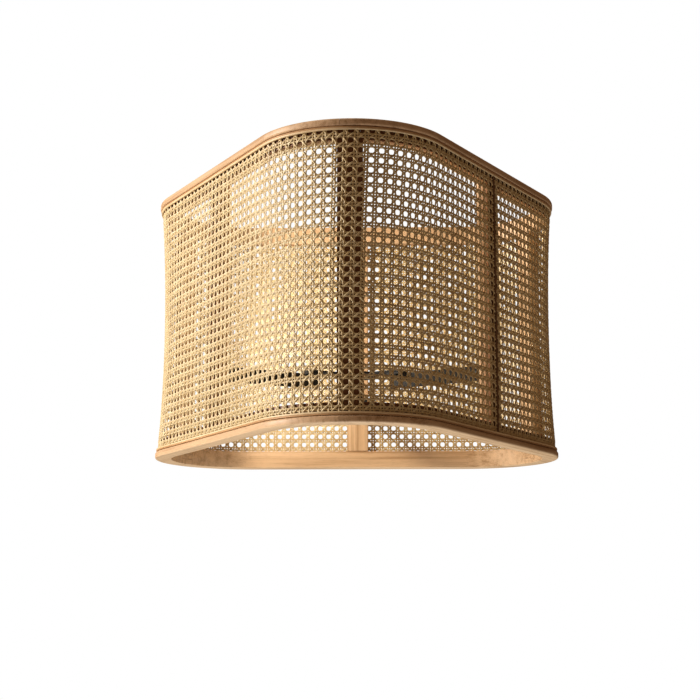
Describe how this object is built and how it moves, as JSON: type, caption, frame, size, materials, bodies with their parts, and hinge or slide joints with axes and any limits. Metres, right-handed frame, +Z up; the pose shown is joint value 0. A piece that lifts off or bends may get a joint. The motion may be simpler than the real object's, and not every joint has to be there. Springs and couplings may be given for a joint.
{
  "type": "lamp shade",
  "caption": "Rounded-triangle lamp shade: woven cane webbing stretched round a pale wood frame with posts, open at both ends, on a flat-bar steel spider.",
  "frame": {"origin": "middle of the shade's box on the plane of the bottom rim's underside; the shade's own axis stands at y = 0.0459 m, because a triangle's box is centred off its axis", "axes": "+Z up along the shade; -Y towards one rounded corner, +Y towards the straight side opposite it"},
  "size_m": [0.586, 0.5434, 0.38],
  "materials": {
    "ash_wood": "satin clear-oiled pale ash, fine straight grain",
    "beech_dowel": "plain turned beech",
    "woven_cane": "natural rattan cane, open octagonal weave, semi-matt with a soft shine on the strands",
    "split_reed": "split reed spline, matt",
    "black_steel": "black powder coat, fine texture",
    "rivet_steel": "blackened steel rivets",
    "screw_steel": "bright zinc-plated wood screws"
  },
  "bodies": {
    "root": {"arm_screw_back_a": "screw_steel", "arm_screw_back_b": "screw_steel", "arm_screw_left_a": "screw_steel", "arm_screw_left_b": "screw_steel", "arm_screw_right_a": "screw_steel", "arm_screw_right_b": "screw_steel", "bead_bottom": "split_reed", "bead_top": "split_reed", "cane_webbing": "woven_cane", "corner_post_back_left": "ash_wood", "corner_post_back_right": "ash_wood", "corner_post_front": "ash_wood", "dowel_bottom_corner_back_left": "beech_dowel", "dowel_bottom_corner_back_right": "beech_dowel", "dowel_bottom_corner_front": "beech_dowel", "dowel_bottom_side_back": "beech_dowel", "dowel_bottom_side_left": "beech_dowel", "dowel_bottom_side_right": "beech_dowel", "dowel_top_corner_back_left": "beech_dowel", "dowel_top_corner_back_right": "beech_dowel", "dowel_top_corner_front": "beech_dowel", "dowel_top_side_back": "beech_dowel", "dowel_top_side_left": "beech_dowel", "dowel_top_side_right": "beech_dowel", "plate_rivet_back_a": "rivet_steel", "plate_rivet_back_b": "rivet_steel", "plate_rivet_left_a": "rivet_steel", "plate_rivet_left_b": "rivet_steel", "plate_rivet_right_a": "rivet_steel", "plate_rivet_right_b": "rivet_steel", "rim_bottom_back": "ash_wood", "rim_bottom_left": "ash_wood", "rim_bottom_right": "ash_wood", "rim_top_back": "ash_wood", "rim_top_left": "ash_wood", "rim_top_right": "ash_wood", "seam_spline": "split_reed", "side_post_back": "ash_wood", "side_post_left": "ash_wood", "side_post_right": "ash_wood", "spider_arm_back": "black_steel", "spider_arm_left": "black_steel", "spider_arm_right": "black_steel", "spider_plate": "black_steel"}
  },
  "joints": []
}
